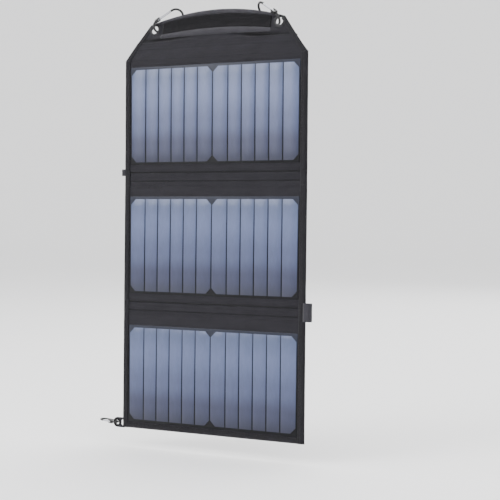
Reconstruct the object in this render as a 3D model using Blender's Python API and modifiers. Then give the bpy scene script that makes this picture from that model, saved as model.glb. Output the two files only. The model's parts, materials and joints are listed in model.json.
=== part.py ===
"""Folding solar charger that hangs from two carabiners.

Three stiff cell sections hang in a chain from a tapered pocket flap. The cells face -Y.
Metres, +Z up. The origin is midway between the points where the two carabiners hang.
"""

import math

import bmesh
import bpy
from mathutils import Euler, Matrix, Vector

MM = 0.001
GAP = 0.3 * MM

# fabric sheet and the three stiff sections
SHEET_W = 285 * MM
LAMINATE_W = 265 * MM
LAMINATE_H = 133.5 * MM
HEMS = {"a": (10 * MM, 10 * MM), "b": (15.5 * MM, 10 * MM), "c": (18.5 * MM, 9 * MM)}
LEANS = {"flap": 12.0, "a": 1.3, "b": 1.8, "c": 1.6}

# flexible strips between the sections, and how far in front of the sheet each one folds
STRIPS = {"a": 22.5 * MM, "b": 18 * MM, "c": 15 * MM}
FOLD_OFFSETS = {"a": 6.9 * MM, "b": 5.4 * MM, "c": 2.5 * MM}
STRIP_T = 0.8 * MM

# layers of a section as (front, back) distances behind its middle plane
FILM_Y = (-2.1 * MM, -1.9 * MM)
CELLS_Y = (-1.6 * MM, -1.4 * MM)
LAMINATE_Y = (-1.1 * MM, -0.1 * MM)
FRONT_Y = (-0.9 * MM, -0.1 * MM)
BOARD_Y = (0.2 * MM, 1.2 * MM)
LEAD_Y = (1.5 * MM, 1.9 * MM)
BACK_Y = (2.1 * MM, 2.7 * MM)
BINDING_Y = (-1.8 * MM, 3.6 * MM)
BINDING_T = 0.6 * MM
BINDING_W = 9 * MM

# solar cells: two cells side by side, each cut in six strips
CELL_H = 126.5 * MM
END_STRIP_W = 22.4 * MM
STRIP_W = 19.4 * MM
CELL_GAP = 1.5 * MM
CELL_CHAMFER = 7.5 * MM
CELL_BRIDGE = 3 * MM

# flap, measured from the line through its two eyelets
EYELET_X = 97.5 * MM
FLAP_BASE = 20 * MM
FLAP_RISE = 23 * MM
FLAP_CORNER = (105 * MM, 7 * MM)
FLAP_T = 0.8 * MM

# carabiners
HANGING_CLIP = {"length": 48 * MM, "width": 22 * MM, "wire": 3.2 * MM}
CORNER_CLIP = {"length": 30 * MM, "width": 15 * MM, "wire": 2.4 * MM}
CLIP_AXIS = (0.827, 0.213, 0.520)
CLIP_GATE_SIDE = (-0.311, -0.597, 0.740)

# corner tab at the lower left
TAB_EYELET_X = -151.5 * MM
TAB_RISE = 6 * MM
CORNER_CLIP_TILT = 5.0

# output box in the pocket
BOX_W = 66 * MM
BOX_H = 26 * MM
BOX_Y = (2 * MM, 13 * MM)
BOX_BASE = -16 * MM
BOX_WALL = 1.4 * MM
PORT_X = 17 * MM
POCKET_W = 92 * MM
POCKET_H = 33 * MM
POCKET_Y = (1.5 * MM, 16 * MM)
POCKET_BASE = -18.5 * MM


def clear_scene():
    for obj in list(bpy.data.objects):
        bpy.data.objects.remove(obj, do_unlink=True)
    for collection in list(bpy.data.collections):
        bpy.data.collections.remove(collection)


def new_collection(name):
    collection = bpy.data.collections.new(name)
    bpy.context.scene.collection.children.link(collection)
    return collection


def material(name, rgb, roughness, metallic=0.0):
    """A Principled material whose colour is given as 0-255 display values."""
    made = bpy.data.materials.new(name)
    made.use_nodes = True
    shader = made.node_tree.nodes["Principled BSDF"]
    shader.inputs["Base Color"].default_value = [(v / 255) ** 2.2 for v in rgb] + [1.0]
    shader.inputs["Roughness"].default_value = roughness
    shader.inputs["Metallic"].default_value = metallic
    return made


def add_object(name, data, look, parent):
    obj = bpy.data.objects.new(name, data)
    obj.parent = parent
    if look is None:
        CUTTERS.objects.link(obj)
        obj.hide_render = True
        obj.display_type = "WIRE"
    else:
        PARTS.objects.link(obj)
        obj.data.materials.append(look)
    return obj


def empty(name, location, tilt, parent=None):
    """An empty on a hinge line, tilted about X by the given degrees."""
    obj = bpy.data.objects.new(name, None)
    obj.empty_display_size = 0.02
    obj.location = location
    obj.rotation_euler = (math.radians(tilt), 0, 0)
    obj.parent = parent
    PARTS.objects.link(obj)
    return obj


def box(name, x, y, z, look, parent):
    """A block between the given (low, high) limits."""
    mesh = bpy.data.meshes.new(name)
    bm = bmesh.new()
    size = [high - low for low, high in (x, y, z)]
    bmesh.ops.create_cube(bm, size=1, matrix=Matrix.Diagonal(size).to_4x4())
    bm.to_mesh(mesh)
    bm.free()
    obj = add_object(name, mesh, look, parent)
    obj.location = [(low + high) / 2 for low, high in (x, y, z)]
    return obj


def cylinder(name, radius, length, look, parent, segments=20):
    """A cylinder about Z, centred on its own origin."""
    mesh = bpy.data.meshes.new(name)
    bm = bmesh.new()
    bmesh.ops.create_cone(
        bm, cap_ends=True, segments=segments, radius1=radius, radius2=radius, depth=length
    )
    bm.to_mesh(mesh)
    bm.free()
    mesh.shade_smooth()
    mesh.set_sharp_from_angle(angle=math.radians(40))
    return add_object(name, mesh, look, parent)


def extrusion(name, outlines, depth, matrix, look, parent):
    """Closed outlines, the first one outer and the others holes, extruded about their own plane."""
    curve = bpy.data.curves.new(name, "CURVE")
    curve.dimensions = "2D"
    curve.fill_mode = "BOTH"
    curve.extrude = depth / 2
    curve.render_resolution_u = 0
    for points in outlines:
        spline = curve.splines.new("POLY")
        spline.points.add(len(points) - 1)
        for point, (u, v) in zip(spline.points, points):
            point.co = (u, v, 0, 1)
        spline.use_cyclic_u = True
    obj = add_object(name, curve, look, parent)
    obj.matrix_local = matrix
    return obj


def sheet(name, outlines, y, look, parent, z=0.0):
    """Outlines in X and Z made into a flat sheet between y's (low, high)."""
    matrix = Matrix.Translation((0, (y[0] + y[1]) / 2, z)) @ Matrix.Rotation(math.pi / 2, 4, "X")
    return extrusion(name, outlines, y[1] - y[0], matrix, look, parent)


def rectangle(x, z):
    return [(x[0], z[0]), (x[1], z[0]), (x[1], z[1]), (x[0], z[1])]


def circle(centre, radius, count=24):
    step = 2 * math.pi / count
    return [
        (centre[0] + radius * math.cos(i * step), centre[1] + radius * math.sin(i * step))
        for i in range(count)
    ]


def boolean(obj, cutter, operation="DIFFERENCE"):
    modifier = obj.modifiers.new(operation.title(), "BOOLEAN")
    modifier.object = cutter
    modifier.operation = operation
    modifier.solver = "EXACT"


def as_mesh(obj):
    """Replace a curve object by the mesh it makes, with its caps welded on."""
    bpy.context.view_layer.update()
    evaluated = obj.evaluated_get(bpy.context.evaluated_depsgraph_get())
    mesh = bpy.data.meshes.new_from_object(evaluated)
    bm = bmesh.new()
    bm.from_mesh(mesh)
    bmesh.ops.remove_doubles(bm, verts=bm.verts, dist=0.00001)
    bm.to_mesh(mesh)
    bm.free()
    name, parent, local = obj.name, obj.parent, obj.matrix_local.copy()
    collections = list(obj.users_collection)
    bpy.data.objects.remove(obj, do_unlink=True)
    made = bpy.data.objects.new(name, mesh)
    made.parent = parent
    made.matrix_local = local
    for collection in collections:
        collection.objects.link(made)
    return made


def eyelet(name, centre, bore, barrel, flange, half_depth, look, parent):
    """A spool-shaped grommet about Y, turned from its section."""
    lip = 0.5 * MM
    profile = [
        (bore, -half_depth),
        (bore, half_depth),
        (flange, half_depth),
        (flange, half_depth - lip),
        (barrel, half_depth - lip),
        (barrel, lip - half_depth),
        (flange, lip - half_depth),
        (flange, -half_depth),
    ]
    mesh = bpy.data.meshes.new(name)
    bm = bmesh.new()
    ring = [bm.verts.new((r, 0, z)) for r, z in profile]
    for i, vertex in enumerate(ring):
        bm.edges.new((vertex, ring[(i + 1) % len(ring)]))
    bm.to_mesh(mesh)
    bm.free()
    obj = add_object(name, mesh, look, parent)
    obj.location = centre
    obj.rotation_euler = (math.pi / 2, 0, 0)
    turn = obj.modifiers.new("Turn", "SCREW")
    turn.axis = "Z"
    turn.angle = 2 * math.pi
    turn.steps = 28
    turn.render_steps = 28
    turn.use_merge_vertices = True
    turn.merge_threshold = 0.00001
    turn.use_smooth_shade = True
    return obj


def cell_outline():
    """Twelve strips in two chamfered cells, joined in a snake by short bridges."""
    top, low = CELL_H / 2, -CELL_H / 2
    widths = ([END_STRIP_W] + [STRIP_W] * 4 + [END_STRIP_W]) * 2
    edges = []
    x = -(sum(widths) + CELL_GAP * (len(widths) - 1)) / 2
    for width in widths:
        edges.append((x, x + width))
        x += width + CELL_GAP
    ch = CELL_CHAMFER

    def side(level, inward, opens):
        start, end = edges[0][0], edges[-1][1]
        points = [(start, level + inward * ch), (start + ch, level)]
        for i in range(len(edges) - 1):
            a, b = edges[i][1], edges[i + 1][0]
            middle = i == len(edges) // 2 - 1
            near = level + inward * ch if middle else level
            far = -level - inward * (CELL_BRIDGE + (ch if middle else 0))
            points += [(a - ch, level), (a, near)] if middle else []
            if i % 2 == opens:
                points += [] if middle else [(a, near)]
                points += [(a, far), (b, far), (b, near)]
            elif middle:
                points += [(b, near)]
            points += [(b + ch, level)] if middle else []
        return points + [(end - ch, level), (end, level + inward * ch)]

    return side(top, -1, 0) + side(low, 1, 1)[::-1]


def section(key, parent, middle_y, top_z):
    """One stiff section: covers, board, laminate, cells, film and side bindings."""
    top_hem, low_hem = HEMS[key]
    height = top_hem + LAMINATE_H + low_hem
    low_z = top_z - height
    name = "panel_" + key

    def layer(limits):
        return (middle_y + limits[0], middle_y + limits[1])

    cell_z = top_z - top_hem - LAMINATE_H / 2
    half_w, half_h = LAMINATE_W / 2, LAMINATE_H / 2
    plate = rectangle((-half_w, half_w), (-half_h, half_h))
    window = rectangle((-half_w - GAP, half_w + GAP), (-half_h - GAP, half_h + GAP))
    window = [(x, z + cell_z) for x, z in window]
    cover_x = SHEET_W / 2 - BINDING_T - GAP
    cover_low = low_z + (BINDING_T + GAP if key == "c" else 0)
    cover = rectangle((-cover_x, cover_x), (cover_low, top_z))
    board_x = cover_x - 2 * MM
    board_z = (cover_low + 1.5 * MM, top_z - 1.5 * MM)
    sheet(name + "_film", [plate], layer(FILM_Y), FILM, parent, cell_z)
    sheet(name + "_cells", [cell_outline()], layer(CELLS_Y), CELL, parent, cell_z)
    sheet(name + "_laminate", [plate], layer(LAMINATE_Y), LAMINATE, parent, cell_z)
    sheet(name + "_front_cover", [cover, window], layer(FRONT_Y), FABRIC, parent)
    box(name + "_board", (-board_x, board_x), layer(BOARD_Y), board_z, BOARD, parent)
    sheet(name + "_back_cover", [cover], layer(BACK_Y), FABRIC, parent)
    for side, sign in (("left", -1), ("right", 1)):
        binding(name + "_binding_" + side, sign, middle_y, low_z, top_z, parent)
    return low_z


def channel(legs, depth, thickness):
    """A U section: two legs between the two limits, joined by a wall at its outer end."""
    low, high = legs
    return [
        (0, low),
        (depth, low),
        (depth, high),
        (0, high),
        (0, high - thickness),
        (depth - thickness, high - thickness),
        (depth - thickness, low + thickness),
        (0, low + thickness),
    ]


def binding(name, sign, middle_y, low_z, top_z, parent):
    """Folded tape over one side edge of a section."""
    legs = (middle_y + BINDING_Y[0], middle_y + BINDING_Y[1])
    start = SHEET_W / 2 - BINDING_W
    outline = [(sign * (start + u), v) for u, v in channel(legs, BINDING_W, BINDING_T)]
    matrix = Matrix.Translation((0, 0, (low_z + top_z) / 2))
    return extrusion(name, [outline], top_z - low_z, matrix, BINDING, parent)


def bottom_binding(middle_y, low_z, parent):
    """Folded tape over the lower edge of the last section, between its side tapes."""
    legs = (middle_y + BINDING_Y[0], middle_y + BINDING_Y[1])
    depth = 7 * MM
    outline = [(v, low_z + depth - u) for u, v in channel(legs, depth, BINDING_T)]
    width = SHEET_W - 2 * (BINDING_W + GAP)
    across = Matrix(((0, 0, 1, 0), (1, 0, 0, 0), (0, 1, 0, 0), (0, 0, 0, 1)))
    return extrusion("bottom_binding", [outline], width, across, BINDING, parent)


def fold_strip(name, top, low, top_w, low_w, parent):
    """The flexible sheet between two sections, from (y, z) top to (y, z) low."""
    top, low = Vector((0, *top)), Vector((0, *low))
    along = top - low
    half = along.length / 2 - GAP
    tilt = math.atan2(-along.y, along.z)
    outline = [(-low_w / 2, -half), (low_w / 2, -half), (top_w / 2, half), (-top_w / 2, half)]
    matrix = Matrix.Translation((top + low) / 2) @ Matrix.Rotation(tilt + math.pi / 2, 4, "X")
    return extrusion(name, [outline], STRIP_T, matrix, FABRIC, parent)


def ribbon(name, path, width, thickness, parent, centre_x=0.0):
    """A flat lead that follows (y, z) points, of the given width along X."""
    sides = [[], []]
    for i, point in enumerate(path):
        before, after = path[max(i - 1, 0)], path[min(i + 1, len(path) - 1)]
        way = Vector((after[0] - before[0], after[1] - before[1])).normalized()
        across = Vector((-way.y, way.x)) * thickness / 2
        sides[0].append((point[0] + across.x, point[1] + across.y))
        sides[1].append((point[0] - across.x, point[1] - across.y))
    across = Matrix(((0, 0, 1, centre_x), (1, 0, 0, 0), (0, 1, 0, 0), (0, 0, 0, 1)))
    return extrusion(name, [sides[0] + sides[1][::-1]], width, across, LEAD, parent)


def arch(rise, drop, x):
    """Height of an arched seam across the flap at x."""
    return rise - drop * (x / FLAP_CORNER[0]) ** 2


def arched_band(half_width, upper, lower, count=12):
    """Outline between two arched seams given as (rise, drop)."""
    xs = [half_width * (2 * i / count - 1) for i in range(count + 1)]
    over = [(x, arch(*upper, x)) for x in xs]
    return over + [(x, arch(*lower, x)) for x in xs[::-1]]


def flap(parent):
    """The tapered top flap: face fabric, net window, seam bands and eyelets."""
    base_half = flap_half_width(0.0)
    corner_x, corner_z = FLAP_CORNER
    drop = FLAP_RISE - corner_z
    xs = [corner_x * (1 - 2 * i / 16) for i in range(17)]
    outline = [(-base_half, -FLAP_BASE + GAP), (base_half, -FLAP_BASE + GAP)]
    outline += [(x, arch(FLAP_RISE, drop, x)) for x in xs]
    window = arched_band(83 * MM, (16 * MM, 12 * MM), (-2 * MM, 8 * MM))
    net = arched_band(85.5 * MM, (18 * MM, 13 * MM), (-4 * MM, 8 * MM))
    holes = [circle((side * EYELET_X, 0), 6.6 * MM) for side in (-1, 1)]
    face_y = (-FLAP_T / 2, FLAP_T / 2)
    sheet("flap_face", [outline, window] + holes, face_y, FABRIC, parent)
    sheet("flap_net", [net], (0.7 * MM, 1.2 * MM), NET, parent)
    trim_y = (-1.2 * MM, -0.7 * MM)
    hem = arched_band(87 * MM, (22.6 * MM, 16 * MM), (16.4 * MM, 12.4 * MM))
    band = arched_band(84 * MM, (-2.4 * MM, 8 * MM), (-12 * MM, 7 * MM))
    sheet("flap_hem", [hem], trim_y, BINDING, parent)
    sheet("flap_band", [band], trim_y, BINDING, parent)
    for side, sign in (("left", -1), ("right", 1)):
        centre = (sign * EYELET_X, 0, 0)
        eyelet("eyelet_" + side, centre, 5.6 * MM, 6.2 * MM, 8.6 * MM, 1.3 * MM, METAL, parent)


def flap_half_width(above_base):
    """Half width of the tapered sheet at a height over the flap's lower edge."""
    corner_x, corner_z = FLAP_CORNER
    full = FLAP_BASE + STRIPS["a"] + corner_z
    share = (above_base + STRIPS["a"]) / full
    return SHEET_W / 2 - (SHEET_W / 2 - corner_x) * share


def pocket(parent):
    """The pouch behind the flap: a back, two sides and a floor, open at the top."""
    half = POCKET_W / 2
    z = (POCKET_BASE, POCKET_BASE + POCKET_H)
    pouch = box("pocket", (-half, half), POCKET_Y, z, FABRIC, parent)
    wall = 0.8 * MM
    inside = box(
        "pocket_inside",
        (-half + wall, half - wall),
        (POCKET_Y[0] - MM, POCKET_Y[1] - wall),
        (z[0] + wall, z[1] + MM),
        None,
        parent,
    )
    slot = box(
        "pocket_lead_slot",
        (-6 * MM, 6 * MM),
        (POCKET_Y[0] - MM, 5 * MM),
        (z[0] - MM, z[0] + 2 * MM),
        None,
        parent,
    )
    boolean(pouch, inside)
    boolean(pouch, slot)


def output_box(parent):
    """The regulator box: two shells, a board, two sockets and a light."""
    half = BOX_W / 2
    split = (BOX_Y[0] + BOX_Y[1]) / 2
    z = (BOX_BASE, BOX_BASE + BOX_H)
    for side, limits in (("front", (BOX_Y[0], split - GAP / 2)), ("rear", (split + GAP / 2, BOX_Y[1]))):
        shell = box("output_shell_" + side, (-half, half), limits, z, PLASTIC, parent)
        reach = (limits[0] + BOX_WALL, limits[1] + MM)
        if side == "rear":
            reach = (limits[0] - MM, limits[1] - BOX_WALL)
        room = box(
            "output_room_" + side,
            (-half + BOX_WALL, half - BOX_WALL),
            reach,
            (z[0] + BOX_WALL, z[1] - BOX_WALL),
            None,
            parent,
        )
        boolean(shell, room)
        for port, x in (("left", -PORT_X), ("right", PORT_X)):
            hole = box(
                "output_hole_" + side + "_" + port,
                (x - 7.2 * MM, x + 7.2 * MM),
                (split - 3.4 * MM, split + 3.4 * MM),
                (z[1] - 2 * BOX_WALL, z[1] + MM),
                None,
                parent,
            )
            boolean(shell, hole)
        if side == "rear":
            pit = cylinder("output_light_hole", 2.3 * MM, 4 * MM, None, parent)
            pit.location = (0, BOX_Y[1], z[1] - 6 * MM)
            pit.rotation_euler = (math.pi / 2, 0, 0)
            boolean(shell, pit)
    board_y = (split + 3.0 * MM, split + 3.8 * MM)
    board_z = (z[0] + 2 * MM, z[1] - 2 * MM)
    box("output_board", (-half + 2 * MM, half - 2 * MM), board_y, board_z, CIRCUIT, parent)
    for port, x in (("left", -PORT_X), ("right", PORT_X)):
        port_z = (z[1] - 13 * MM, z[1] + 0.2 * MM)
        port_y = (split - 2.9 * MM, split + 2.7 * MM)
        body = box("output_port_" + port, (x - 6.6 * MM, x + 6.6 * MM), port_y, port_z, METAL, parent)
        mouth = box(
            "output_mouth_" + port,
            (x - 5.9 * MM, x + 5.9 * MM),
            (split - 2.2 * MM, split + 2 * MM),
            (z[1] - 10 * MM, z[1] + 2 * MM),
            None,
            parent,
        )
        boolean(body, mouth)
    lens = cylinder("output_light", 2 * MM, 1.2 * MM, LENS, parent)
    lens.location = (0, BOX_Y[1] - 0.7 * MM, z[1] - 6 * MM)
    lens.rotation_euler = (math.pi / 2, 0, 0)


def clip_shape(sizes):
    """Driving distances of a carabiner from its overall sizes."""
    wire = sizes["wire"]
    bow = (sizes["width"] - wire) / 2
    side = (sizes["length"] - wire) / 2 - bow
    k = wire / 3.2
    return {
        "wire": wire,
        "k": k,
        "bow": bow,
        "side": side,
        "pin": -side + 4 * k,
        "slot": -side + 1.7 * k,
        "nose": side - 1.7 * k,
    }


def clip_path(shape, count=14):
    """Centre line of the body: nose, upper bow, spine, lower bow, hinge end."""
    bow, side = shape["bow"], shape["side"]
    points = [(bow, 0, shape["nose"])]
    for i in range(count + 1):
        turn = math.pi * i / count
        points.append((bow * math.cos(turn), 0, side + bow * math.sin(turn)))
    for i in range(1, 3):
        points.append((-bow, 0, side - 2 * side * i / 3))
    for i in range(count + 1):
        turn = math.pi + math.pi * i / count
        points.append((bow * math.cos(turn), 0, -side + bow * math.sin(turn)))
    return points + [(bow, 0, shape["slot"] - 0.3 * shape["k"])]


def carabiner(name, sizes, axis, parent):
    """A wire-gate snap hook. Its body stays on axis; its gate turns on the pin at its lower end."""
    shape = clip_shape(sizes)
    wire, k, bow, pin_z = shape["wire"], shape["k"], shape["bow"], shape["pin"]
    curve = bpy.data.curves.new(name + "_body", "CURVE")
    curve.dimensions = "3D"
    curve.bevel_depth = wire / 2
    curve.bevel_resolution = 2
    curve.use_fill_caps = True
    curve.render_resolution_u = 0
    points = clip_path(shape)
    spline = curve.splines.new("POLY")
    spline.points.add(len(points) - 1)
    for point, co in zip(spline.points, points):
        point.co = (*co, 1)
    body = add_object(name + "_body", curve, ANODISED, parent)
    body.matrix_local = axis
    body = as_mesh(body)
    low, high = -shape["side"] - 1.9 * k, -shape["side"] + 5.8 * k
    lug = box(name + "_lug", (bow - 2.1 * k, bow + 2.1 * k), (-2.8 * k, 2.8 * k), (low, high), None, parent)
    slot = box(
        name + "_slot",
        (bow - 3 * k, bow + 3 * k),
        (-1.5 * k - GAP, 1.5 * k + GAP),
        (shape["slot"], high + k),
        None,
        parent,
    )
    bore = cylinder(name + "_bore", 0.6 * k + GAP, 8 * k, None, parent, 12)
    bore.location = (bow, 0, pin_z)
    bore.rotation_euler = (math.pi / 2, 0, 0)
    for cutter in (lug, slot, bore):
        cutter.matrix_local = axis @ cutter.matrix_basis
    boolean(body, lug, "UNION")
    boolean(body, slot)
    boolean(body, bore)
    pin = cylinder(name + "_pin", 0.6 * k, 5.2 * k, METAL, parent, 12)
    pin.matrix_local = axis @ Matrix.Translation((bow, 0, pin_z)) @ Matrix.Rotation(math.pi / 2, 4, "X")
    low, high = pin_z - 1.7 * k, shape["nose"] - 1.2 * GAP
    gate = cylinder(name + "_gate", 1.5 * k, high - low, METAL, parent, 16)
    for vertex in gate.data.vertices:
        vertex.co.z += (low + high) / 2 - pin_z
    gate.matrix_local = axis @ Matrix.Translation((bow, 0, pin_z))
    boolean(gate, bore)
    return body


def turned_to(centre, long_axis, gate_side):
    """A carabiner's placing: its long axis, and the side its gate is on."""
    up = Vector(long_axis).normalized()
    out = Vector(gate_side)
    out = (out - up * out.dot(up)).normalized()
    matrix = Matrix((out, up.cross(out), up)).transposed().to_4x4()
    matrix.translation = centre
    return matrix


def loop_outline(sign, reach, half, wall):
    """A folded webbing loop seen along its width, standing off the side edge."""
    start = SHEET_W / 2 + GAP
    middle = start + reach - half
    hole_start, hole = start + wall, half - wall
    outer, inner = [(start, -half)], [(hole_start, -hole)]
    for i in range(9):
        turn = math.pi * (i / 8 - 0.5)
        outer.append((middle + half * math.cos(turn), half * math.sin(turn)))
        inner.append((middle + hole * math.cos(turn), hole * math.sin(turn)))
    outer.append((start, half))
    inner.append((hole_start, hole))
    return [[(sign * x, y) for x, y in ring] for ring in (outer, inner)]


def webbing_loop(name, sign, reach, half, wall, middle_y, z, parent):
    matrix = Matrix.Translation((0, middle_y, (z[0] + z[1]) / 2))
    return extrusion(name, loop_outline(sign, reach, half, wall), z[1] - z[0], matrix, WEBBING, parent)


def corner_tab(middle_y, low_z, parent):
    """Webbing tab with an eyelet at the lower left corner."""
    centre_z = low_z + TAB_RISE
    radius = 7 * MM
    outline = [(-SHEET_W / 2 - GAP, centre_z + radius), (TAB_EYELET_X, centre_z + radius)]
    for i in range(1, 12):
        turn = math.pi * (0.5 + i / 12)
        outline.append((TAB_EYELET_X + radius * math.cos(turn), centre_z + radius * math.sin(turn)))
    outline += [(TAB_EYELET_X, centre_z - radius), (-SHEET_W / 2 - GAP, centre_z - radius)]
    hole = circle((TAB_EYELET_X, centre_z), 4.3 * MM, 20)
    y = (middle_y - 0.7 * MM, middle_y + 0.7 * MM)
    sheet("corner_tab", [outline, hole], y, WEBBING, parent)
    centre = (TAB_EYELET_X, middle_y, centre_z)
    eyelet("corner_eyelet", centre, 3.4 * MM, 3.9 * MM, 5.8 * MM, 1.6 * MM, METAL, parent)
    return centre


def hinge_tilt(upper, lower):
    """Turn about X from the upper section's frame to the lower one's, in degrees."""
    return LEANS[upper] - LEANS[lower]


def build():
    bow_reach = (HANGING_CLIP["length"] - HANGING_CLIP["wire"]) / 2
    up = Vector(CLIP_AXIS).normalized()
    hang_x = EYELET_X - 2 * bow_reach * up.x
    hooks = empty("hanger_frame", (0, 0, 0), 0)
    for side, sign in (("left", -1), ("right", 1)):
        long_axis = (-sign * up.x, up.y, up.z)
        gate_side = (-sign * CLIP_GATE_SIDE[0], CLIP_GATE_SIDE[1], CLIP_GATE_SIDE[2])
        centre = Vector((sign * hang_x, 0, 0)) - Vector(long_axis) * bow_reach
        placing = turned_to(centre, long_axis, gate_side)
        carabiner("clip_" + side, HANGING_CLIP, placing, hooks)

    eyelet_line = (0, -2 * bow_reach * up.y, -2 * bow_reach * up.z)
    frame = empty("flap_axis", eyelet_line, -LEANS["flap"])
    flap(frame)
    pocket(frame)
    output_box(frame)

    upper, middle_y, edge_z, width = "flap", 0.0, -FLAP_BASE, 2 * flap_half_width(0.0)
    lead_start = [(4 * MM, BOX_BASE - GAP), (4 * MM, -FLAP_BASE - 3 * MM)]
    for key in "abc":
        strip, offset = STRIPS[key], FOLD_OFFSETS[key]
        hinge = Vector((0, middle_y - offset, edge_z - strip / 2))
        tilt = hinge_tilt(upper, key)
        below = empty("fold_" + key + "_axis", hinge, tilt, frame)
        turned = Matrix.Translation(hinge) @ Euler((math.radians(tilt), 0, 0)).to_matrix().to_4x4()
        top_edge = turned @ Vector((0, offset, -strip / 2))
        fold_strip("fold_strip_" + key, (middle_y, edge_z), top_edge.yz, width, SHEET_W, frame)
        lead_y = offset + sum(LEAD_Y) / 2
        into = [turned @ Vector((0, lead_y, z)) for z in (-strip / 2, -strip / 2 - 20 * MM)]
        path = lead_start + [(point.y, point.z) for point in into]
        ribbon("lead_" + key, path, 10 * MM, 0.4 * MM, frame)
        low_z = section(key, below, offset, -strip / 2)
        upper, middle_y, edge_z, width, frame = key, offset, low_z, SHEET_W, below
        lead_y = offset + sum(LEAD_Y) / 2
        lead_start = [(lead_y, low_z + 20 * MM), (lead_y, low_z)]
        if key == "a":
            z = (low_z - 5 * MM, low_z + 4 * MM)
            webbing_loop("loop_left", -1, 5 * MM, 2 * MM, 0.9 * MM, offset, z, below)
        if key == "b":
            z = (low_z - 18 * MM, low_z + 6 * MM)
            webbing_loop("loop_right", 1, 9.5 * MM, 3.8 * MM, MM, offset, z, below)
    bottom_binding(middle_y, edge_z, frame)

    pivot = corner_tab(middle_y, edge_z, frame)
    reach = (CORNER_CLIP["length"] - CORNER_CLIP["wire"]) / 2
    swing = empty("corner_clip_axis", pivot, 0, frame)
    tilt = math.radians(CORNER_CLIP_TILT)
    outward = Vector((-math.cos(tilt), 0, math.sin(tilt)))
    carabiner("corner_clip", CORNER_CLIP, turned_to(outward * reach, outward, (0, -1, 0)), swing)


clear_scene()
PARTS = new_collection("folding_solar_charger")
CUTTERS = new_collection("cutters")
FABRIC = material("woven_fabric", (48, 47, 53), 0.85)
BINDING = material("binding_tape", (58, 57, 63), 0.8)
WEBBING = material("webbing", (74, 73, 79), 0.85)
NET = material("net_fabric", (35, 34, 40), 0.9)
FILM = material("clear_film", (150, 158, 178), 0.25)
CELL = material("solar_cell", (62, 70, 96), 0.3, 0.2)
LAMINATE = material("laminate", (22, 23, 30), 0.45)
BOARD = material("stiffener_board", (96, 92, 84), 0.8)
LEAD = material("lead_insulation", (20, 20, 22), 0.5)
METAL = material("bright_metal", (196, 197, 200), 0.3, 1.0)
ANODISED = material("black_anodised_metal", (28, 28, 30), 0.35, 0.8)
PLASTIC = material("black_plastic", (24, 24, 26), 0.5)
CIRCUIT = material("circuit_board", (30, 84, 52), 0.6)
LENS = material("light_lens", (210, 214, 220), 0.2)
build()
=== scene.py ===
"""Looks of a folding solar charger: woven sheets, taped edges, laminated cells, webbing and snap hooks.

Lengths are metres. Each sheet has its own frame: X runs across it, Y out of its back and Z up it,
with the origin on the hinge line at its upper fold.
"""

import json
import math

import bmesh
import bpy
from mathutils import Matrix, Vector, noise


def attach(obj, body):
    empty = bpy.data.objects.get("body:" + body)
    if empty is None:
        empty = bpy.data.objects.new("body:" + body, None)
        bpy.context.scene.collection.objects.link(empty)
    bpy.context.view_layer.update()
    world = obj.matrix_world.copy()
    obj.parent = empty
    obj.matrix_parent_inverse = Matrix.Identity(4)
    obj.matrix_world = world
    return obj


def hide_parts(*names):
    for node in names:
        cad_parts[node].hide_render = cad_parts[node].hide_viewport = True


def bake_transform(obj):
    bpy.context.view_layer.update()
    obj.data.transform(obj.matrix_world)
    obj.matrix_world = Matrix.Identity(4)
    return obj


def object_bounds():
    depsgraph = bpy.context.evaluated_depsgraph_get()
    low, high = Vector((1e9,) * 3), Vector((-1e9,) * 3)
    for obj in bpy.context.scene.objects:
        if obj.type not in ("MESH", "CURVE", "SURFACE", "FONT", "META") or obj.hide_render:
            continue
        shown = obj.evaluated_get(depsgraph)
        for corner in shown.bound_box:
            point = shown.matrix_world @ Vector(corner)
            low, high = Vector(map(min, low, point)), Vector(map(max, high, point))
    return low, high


MM = 0.001

# the sections: one laminate each, with a hem above and below it
SHEET_W = 285 * MM
LAMINATE_W = 265 * MM
LAMINATE_H = 133.5 * MM
HEMS = {"a": (10 * MM, 10 * MM), "b": (15.5 * MM, 10 * MM), "c": (18.5 * MM, 9 * MM)}
STRIPS = {"a": 22.5 * MM, "b": 18 * MM, "c": 15 * MM}
FOLD_OFFSETS = {"a": 6.9 * MM, "b": 5.4 * MM, "c": 2.5 * MM}
HINGES = {"a": "fold_top", "b": "fold_middle", "c": "fold_lower"}
REAR_FACES = {"a": "rear_face_upper", "b": "rear_face_middle", "c": "rear_face_lower"}
BODIES = {"a": "panel_a", "b": "panel_b", "c": "panel_c"}

# layers of a section, measured back from its middle
FRONT_CLOTH_Y = -0.35 * MM
BACK_CLOTH_Y = 2.4 * MM
CLOTH_T = 0.5 * MM
PLATE_Y = (-1.35 * MM, -0.65 * MM)
CELL_LIFT = 0.22 * MM
TAPE_Y = (-1.8 * MM, 3.6 * MM)
TAPE_W = 9 * MM
TAPE_T = 0.6 * MM
BOW = 0.35 * MM

# cells: two side by side, each cut in six strips
CELL_H = 126.5 * MM
STRIP_COUNT = 12
END_STRIP_W = 22.4 * MM
STRIP_W = 19.4 * MM
CELL_GAP = 1.5 * MM
CELL_CHAMFER = 7.5 * MM

# flap, measured from the line through its eyelets
FLAP_BASE = 20 * MM
FLAP_CORNER = (105 * MM, 7 * MM)
TOP_ARCH = (23 * MM, 16 * MM)
HEM_ARCHES = ((22.6 * MM, 16 * MM), (16.4 * MM, 12.4 * MM))
NET_ARCHES = ((16.6 * MM, 12.2 * MM), (-2.2 * MM, 8 * MM))
BAND_ARCHES = ((-2 * MM, 8 * MM), (-11.5 * MM, 2.5 * MM))
EYELET_X = 97.5 * MM
NET_PITCH = 2.3 * MM

# pocket behind the flap
POCKET_HALF = 46 * MM
POCKET_Y = (1.5 * MM, 16 * MM)
POCKET_Z = (-18.5 * MM, 14.5 * MM)

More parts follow.
